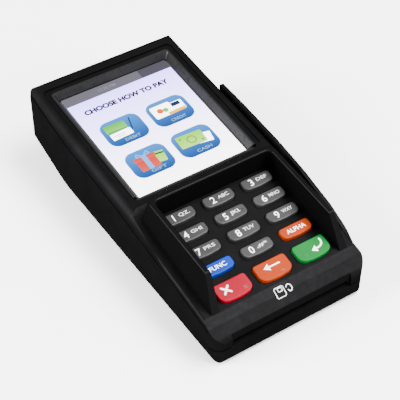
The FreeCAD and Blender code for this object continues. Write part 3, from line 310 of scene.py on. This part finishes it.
def words(name, text, size, x, y, plane, material, body, lift, bold, width=None):
    """Text as a thin solid, size being its cap height in millimetres and bold what it gains at edges."""
    curve = bpy.data.curves.new(name, "FONT")
    curve.body = text
    curve.size = size / CAP_HEIGHT
    curve.align_x = "CENTER"
    curve.align_y = "CENTER"
    curve.offset = bold
    curve.extrude = TEXT_HALF_DEPTH
    curve.resolution_u = TEXT_RESOLUTION
    holder = add_object(name + "_source", curve)
    bpy.context.view_layer.update()
    mesh = bpy.data.meshes.new_from_object(holder.evaluated_get(bpy.context.evaluated_depsgraph_get()))
    bpy.data.objects.remove(holder)
    if width:
        xs = [v.co.x for v in mesh.vertices]
        mesh.transform(Matrix.Diagonal((width / (max(xs) - min(xs)), 1, 1, 1)))
    mesh.transform(Matrix.Translation((x, y, 0)))
    return finish_piece(add_object(name, mesh), plane, material, body, lift)


# ---------------------------------------------------------------- key legends
LEGENDS = {"1": "QZ.", "2": "ABC", "3": "DEF", "4": "GHI", "5": "JKL", "6": "MNO", "7": "PRS", "8": "TUV",
           "9": "WXY", "0": ",#*"}
PIP_HEIGHT = 0.25               # the pip on the 5
TEXT_LIFT = 0.005               # how far a legend stands off its key cap
MARK_LIFT = 0.01
DIGIT_SIZE = 3.7
DIGIT_X = -3.2
LETTERS_SIZE = 1.8
LETTERS_X = 2.7
LETTERS_Y = 0.5
LETTERS_WIDTH = 5.8
WORD_SIZE = 2.3
for digit, letters in LEGENDS.items():
    node = "key_" + digit
    plane = tilted(node, PAD_TILT, PIP_HEIGHT * MM if digit == "5" else 0.0)
    body = node + "_cap"
    words("legend_" + digit, digit, DIGIT_SIZE, DIGIT_X, 0.0, plane, LEGEND, body, TEXT_LIFT, bold=0.015)
    words("letters_" + digit, letters, LETTERS_SIZE, LETTERS_X, LETTERS_Y, plane, SOFT_LEGEND, body,
          TEXT_LIFT, bold=0.01, width=LETTERS_WIDTH)

for key, text, wide in (("function", "FUNC", 9.0), ("alpha", "ALPHA", 10.4)):
    plane = tilted("key_" + key, PAD_TILT)
    words("legend_" + key, text, WORD_SIZE, 0.0, 0.1, plane, LEGEND, "key_" + key + "_cap", TEXT_LIFT,
          bold=0.02, width=wide)

plane = tilted("key_cancel", PAD_TILT)
cross = stroke([(-5.2, 2.3), (-1.8, -1.1)], 0.95) + stroke([(-5.2, -1.1), (-1.8, 2.3)], 0.95)
flat("legend_cancel", cross, plane, LEGEND, "key_cancel_cap", MARK_LIFT)
mark = stroke([(4.4, -1.5), (5.8, -2.9)], 0.45) + stroke([(4.4, -2.9), (5.8, -1.5)], 0.45)
flat("mark_cancel", mark, plane, KEY_RED_MARK, "key_cancel_cap", MARK_LIFT)

plane = tilted("key_clear", PAD_TILT)
shaft = stroke([(-2.2, 1.3), (4.0, 1.3)], 0.7)
tip = [(-4.6, 1.3), (-1.6, 3.1), (-1.6, -0.5)]
flat("legend_clear", shaft + [tip], plane, LEGEND, "key_clear_cap", MARK_LIFT)
dash = stroke([(2.4, -2.9), (4.2, -2.9)], 0.5)
flat("mark_clear", dash, plane, KEY_ORANGE_MARK, "key_clear_cap", MARK_LIFT)

plane = tilted("key_enter", PAD_TILT)
bend = stroke([(6.0, 3.0), (6.1, 1.6), (5.4, 0.2), (4.0, -0.6), (1.6, -0.9)], 0.85)
tip = [(-0.9, -0.9), (1.9, 0.9), (1.9, -2.7)]
flat("legend_enter", bend + [tip], plane, LEGEND, "key_enter_cap", MARK_LIFT)
ring = stroke(arc(-4.6, -1.6, 0.75, 0.75, 0, 2, 12), 0.35)
flat("mark_enter", ring, plane, KEY_GREEN_MARK, "key_enter_cap", MARK_LIFT)


# ---------------------------------------------------------------- picture on the display
SCREEN = tilted("touch_glass", DISPLAY_TILT)
HALF_W = 30.7
HALF_H = 37.7
BAR_H = 6.2
BAR_Y = HALF_H - BAR_H / 2
BAR_SPLIT_X = 13.8
TILE_W = 21.8
TILE_H = 17.4
TILE_R = 4.8
EDGE_W = 0.5                    # how much wider and rounder the rim of a tile is
EDGE_R = 0.2
CORNER_STEPS = 8
LAYER_STEP = 0.035              # the picture is built up in layers of plates and words
PLATE_LIFT = 0.01
WORDS_LIFT = 0.03
LAVENDER = glowing("screen_ground", (0.36, 0.3, 1.0), 7.0, (1.0, 1.0, 1.0), high=0.95)
BAR_LIGHT = glowing("screen_bar_light", (0.235, 0.225, 0.285), 1.0)
BAR_DARK = glowing("screen_bar_dark", (0.115, 0.105, 0.15), 1.0)
INK = glowing("screen_ink", (0.012, 0.012, 0.03), 1.0)
TILE = glowing("tile_blue", (0.05, 0.33, 1.0), 1.5, (0.0, 0.085, 0.42), high=0.95)
TILE_EDGE = glowing("tile_edge", (0.5, 0.7, 0.98), 1.6, (0.01, 0.12, 0.45))
PALE = glowing("screen_white", (0.98, 0.98, 0.98), 7.0)
FAINT = glowing("screen_caption", (0.35, 0.66, 0.98), 1.5)
BAR_TEXT = glowing("screen_bar_text", (0.42, 0.41, 0.47), 1.0)
GREEN = glowing("screen_green", (0.06, 0.62, 0.02), 1.8, (0.3, 0.9, 0.16))
GREEN_DARK = glowing("screen_green_dark", (0.12, 0.45, 0.1), 1.6)
LIME = glowing("screen_lime", (0.25, 0.75, 0.02), 2.4, (0.5, 0.95, 0.12))
LIME_DARK = glowing("screen_lime_dark", (0.2, 0.52, 0.06), 1.6)
NAVY = glowing("screen_navy", (0.008, 0.045, 0.16), 1.0)
AMBER = glowing("screen_amber", (1.0, 0.45, 0.0), 3.0)
ORANGE = glowing("screen_orange", (1.0, 0.14, 0.0), 2.0)
ROSE = glowing("screen_rose", (0.9, 0.05, 0.04), 1.6, (1.0, 0.12, 0.08))
SKY = glowing("screen_sky", (0.06, 0.42, 1.0), 2.6)
STONE = glowing("screen_stone", (0.55, 0.56, 0.58), 1.6, (0.8, 0.8, 0.82))


def on_screen(name, loops, material, level):
    flat(name, loops, SCREEN, material, BASE, PLATE_LIFT + LAYER_STEP * level)


def screen_words(name, text, size, x, y, material, level, **more):
    words(name, text, size, x, y, SCREEN, material, BASE, WORDS_LIFT + LAYER_STEP * level, **more)


on_screen("screen_ground", [rounded(0, 0, 2 * HALF_W, 2 * HALF_H, 0.3)], LAVENDER, 0)
bar_left = rounded((BAR_SPLIT_X - HALF_W) / 2, BAR_Y, BAR_SPLIT_X + HALF_W, BAR_H, 0.05)
bar_right = rounded((BAR_SPLIT_X + HALF_W) / 2, BAR_Y, HALF_W - BAR_SPLIT_X, BAR_H, 0.05)
on_screen("screen_bar_left", [bar_left], BAR_LIGHT, 1)
on_screen("screen_bar_right", [bar_right], BAR_DARK, 1)
screen_words("screen_clock", "12:30 PM", 2.0, -6.0, BAR_Y, BAR_TEXT, 2, bold=0.01)
screen_words("screen_title", "CHOOSE HOW TO PAY", 3.0, -0.8, 23.4, INK, 2, bold=0.25, width=49.0)

TILES = {"debit": (-13.6, 4.2), "credit": (13.1, 4.2), "gift": (-13.6, -20.0), "cash": (12.7, -20.0)}
for label, (x, y) in TILES.items():
    edge = rounded(x, y, TILE_W + EDGE_W, TILE_H + EDGE_W, TILE_R + EDGE_R, CORNER_STEPS)
    on_screen("tile_edge_" + label, [edge], TILE_EDGE, 1)
    on_screen("tile_" + label, [rounded(x, y, TILE_W, TILE_H, TILE_R, CORNER_STEPS)], TILE, 2)
    screen_words("caption_" + label, label.upper(), 1.8, x + 1.2, y - 6.5, FAINT, 3, bold=0.03, width=8.6)

x, y = TILES["debit"]
on_screen("debit_card", [rounded(x - 3.1, y + 3.3, 11.6, 6.0, 1.0, turn=-2)], GREEN, 3)
on_screen("debit_card_band", [rounded(x - 3.0, y + 1.0, 11.0, 1.0, 0.1, turn=-2)], GREEN_DARK, 4)
on_screen("debit_slip", [rounded(x - 2.6, y - 2.0, 11.6, 4.4, 0.3, turn=2)], PALE, 5)
lines = [rounded(x - 3.8, y - 1.8, 6.4, 0.4, 0.1, turn=2), rounded(x - 3.2, y - 3.0, 4.6, 0.4, 0.1, turn=2)]
on_screen("debit_line", lines, STONE, 6)
on_screen("debit_pen", stroke([(x + 5.9, y + 6.2), (x + 3.9, y - 1.2)], 0.6), NAVY, 6)

x, y = TILES["credit"]
on_screen("credit_card", [rounded(x - 3.2, y + 1.8, 11.4, 8.6, 1.0)], PALE, 3)
on_screen("credit_card_back", [rounded(x + 4.6, y + 1.2, 8.4, 7.0, 0.8)], PALE, 3)
on_screen("credit_mark_a", [disc(x - 4.6, y + 2.0, 1.7)], ORANGE, 4)
on_screen("credit_mark_b", [disc(x - 1.6, y + 1.4, 1.5)], GREEN, 4)
on_screen("credit_chip", [rounded(x + 5.0, y + 3.0, 5.0, 2.6, 0.2)], NAVY, 4)
on_screen("credit_band", [rounded(x + 3.6, y - 1.6, 10.0, 1.9, 0.2, turn=2)], AMBER, 4)

x, y = TILES["gift"]
on_screen("gift_voucher", [rounded(x + 5.4, y + 0.2, 6.2, 7.4, 0.6, turn=-8)], LIME, 3)
on_screen("gift_voucher_band", [rounded(x + 5.7, y + 2.2, 6.0, 0.9, 0.1, turn=-8)], NAVY, 4)
on_screen("gift_box", [rounded(x - 1.6, y - 1.6, 10.6, 7.0, 0.4)], ROSE, 5)
on_screen("gift_lid", [rounded(x - 1.6, y + 2.8, 11.8, 2.6, 0.4)], ROSE, 6)
on_screen("gift_ribbon", [rounded(x - 1.6, y - 0.6, 2.4, 9.2, 0.1)], SKY, 7)
knot = (x - 1.6, y + 4.2)
bow = stroke([knot, (x - 4.4, y + 6.4), (x - 5.2, y + 4.6), knot, (x + 1.4, y + 6.6), (x + 2.2, y + 4.8),
              knot], 0.7)
on_screen("gift_bow", bow, SKY, 7)

x, y = TILES["cash"]
on_screen("cash_note_back", [rounded(x + 3.6, y + 0.2, 11.0, 6.4, 0.4, turn=-10)], PALE, 3)
on_screen("cash_note", [rounded(x - 1.4, y + 1.8, 14.4, 8.4, 0.6, turn=-3)], LIME, 4)
on_screen("cash_ring", [disc(x - 1.2, y + 1.8, 2.6)], LIME_DARK, 5)
on_screen("cash_centre", [disc(x - 1.2, y + 1.8, 1.9)], LIME, 6)
on_screen("cash_spots", [disc(x - 6.6, y + 4.2, 0.7), disc(x + 3.8, y - 0.8, 0.7)], LIME_DARK, 5)


# ---------------------------------------------------------------- printed card symbol on the front
SYMBOL_X = -1.8 * MM            # from the centre, the front face and the table
SYMBOL_BACK = 6.3 * MM
SYMBOL_Z = 21.4 * MM
SYMBOL_LIFT = 0.03 * MM
RAY_START = 0.01                # metres above the drawing plane
LEG_LENGTH = 0.5
OUTLINE_WIDTH = 0.34
CHIP_WIDTH = 0.3
WAVE_WIDTH = 0.38
CENTRE_X = tilted("key_clear", PAD_TILT).translation.x


def draped(name, loops, material, body):
    """Thin print laid on the front slope: drawn on a tilted plane, then dropped onto the housing."""
    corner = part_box("upper_housing")[0]
    out = Vector((0, -math.sin(FRONT_SLOPE), math.cos(FRONT_SLOPE)))
    up = Vector((0, math.cos(FRONT_SLOPE), math.sin(FRONT_SLOPE)))
    place = Vector((CENTRE_X + SYMBOL_X, corner[1] + SYMBOL_BACK, SYMBOL_Z))
    skin = NODES["upper_housing"]
    points = [skin.matrix_world @ v.co for v in skin.data.vertices]
    tree = BVHTree.FromPolygons(points, [list(f.vertices) for f in skin.data.polygons])
    plane = Matrix(((1, 0, 0, place.x), (0, up.y, out.y, place.y), (0, up.z, out.z, place.z), (0, 0, 0, 1)))
    obj = flat(name, loops, plane, material, body, 0.0)
    for v in obj.data.vertices:
        height = (v.co - place).dot(out)
        foot = v.co - out * height
        hit = tree.ray_cast(foot + out * RAY_START, -out)[0]
        v.co = hit + out * (height + SYMBOL_LIFT)


def legs(points):
    """Polyline cut into short legs so that a print can follow a curved face."""
    fine = [points[0]]
    for (x0, y0), (x1, y1) in zip(points[:-1], points[1:]):
        count = max(1, round(math.hypot(x1 - x0, y1 - y0) / LEG_LENGTH))
        fine += [(x0 + (x1 - x0) * i / count, y0 + (y1 - y0) * i / count) for i in range(1, count + 1)]
    return fine


card = rounded(-1.6, 0.0, 4.8, 4.8, 0.7, 3)
chip = rounded(-1.2, 1.1, 2.2, 1.7, 0.3, 2)
hook = arc(3.4, 0.2, 1.3, 1.7, 0.85, -1.25, 10)
barb = [(3.2, -1.5), (2.5, -0.5)]
symbol = stroke(legs(card + card[:1]), OUTLINE_WIDTH) + stroke(legs(chip + chip[:1]), CHIP_WIDTH)
symbol += stroke(legs(hook), WAVE_WIDTH) + stroke(legs(barb), WAVE_WIDTH)
draped("front_symbol", symbol, PRINT, BASE)


# ---------------------------------------------------------------- floor, lights and camera
FLOOR_HALF = 6.0
FLOOR_BLOTCHES = 3.0            # per metre
LIGHT_AIM = Vector((0, 0, 0.03))
WORLD_STRENGTH = 1.2
CAMERA_TURN = math.radians(33.14)
CAMERA_LIFT = math.radians(43.98)
CAMERA_RANGE = 0.5916
CAMERA_TARGET = Vector((-0.0017, 0.0, 0.020))
CAMERA_SENSOR = 36.0            # sensor and lens in millimetres, shifts in sensor widths
CAMERA_LENS = 108.8
CAMERA_SHIFT_X = 0.0250
CAMERA_SHIFT_Y = -0.0275
CAMERA_NEAR = 0.01


def floor():
    mesh = bpy.data.meshes.new("floor")
    bm = bmesh.new()
    bmesh.ops.create_grid(bm, x_segments=2, y_segments=2, size=FLOOR_HALF)
    bm.to_mesh(mesh)
    bm.free()
    s = Shader("floor_white")
    blotches = s.tint(s.noise(FLOOR_BLOTCHES), (0.93, 0.93, 0.93), (0.97, 0.97, 0.97))
    s.link(blotches, s.bsdf.inputs["Base Color"])
    fill(s.bsdf, Roughness=0.9, Specular_IOR_Level=0.1)
    mesh.materials.append(s.mat)
    return add_object("floor", mesh)


def lamp(name, place, size, power):
    """Rectangular lamp of some watts, turned to the middle of the terminal."""
    data = bpy.data.lights.new(name, "AREA")
    data.shape = "RECTANGLE"
    data.size, data.size_y = size
    data.energy = power
    obj = add_object(name, data)
    obj.location = place
    obj.rotation_euler = (LIGHT_AIM - Vector(place)).to_track_quat("-Z", "Y").to_euler()
    return obj


lights = [
    lamp("overhead_light", (0.42, -0.25, 1.05), (0.7, 0.5), 48.0),
    lamp("front_light", (0.45, -0.95, 0.6), (0.6, 0.4), 22.0),
    lamp("left_light", (-1.0, 0.35, 0.55), (0.5, 0.8), 62.0),
]
floor()

world = bpy.data.worlds.new("studio")
world.use_nodes = True
fill(world.node_tree.nodes["Background"], Color=WHITE, Strength=WORLD_STRENGTH)
bpy.context.scene.world = world

data = bpy.data.cameras.new("photo_camera")
data.sensor_width = CAMERA_SENSOR
data.lens = CAMERA_LENS
data.shift_x = CAMERA_SHIFT_X
data.shift_y = CAMERA_SHIFT_Y
data.clip_start = CAMERA_NEAR
camera = add_object("photo_camera", data)
level_reach = math.cos(CAMERA_LIFT)
away = Vector((-math.sin(CAMERA_TURN) * level_reach, -math.cos(CAMERA_TURN) * level_reach,
               math.sin(CAMERA_LIFT)))
camera.location = CAMERA_TARGET + away * CAMERA_RANGE
right = Vector((math.cos(CAMERA_TURN), -math.sin(CAMERA_TURN), 0))
camera.rotation_euler = Matrix((right, away.cross(right), away)).transposed().to_euler()
bpy.context.scene.camera = camera

bpy.context.view_layer.update()
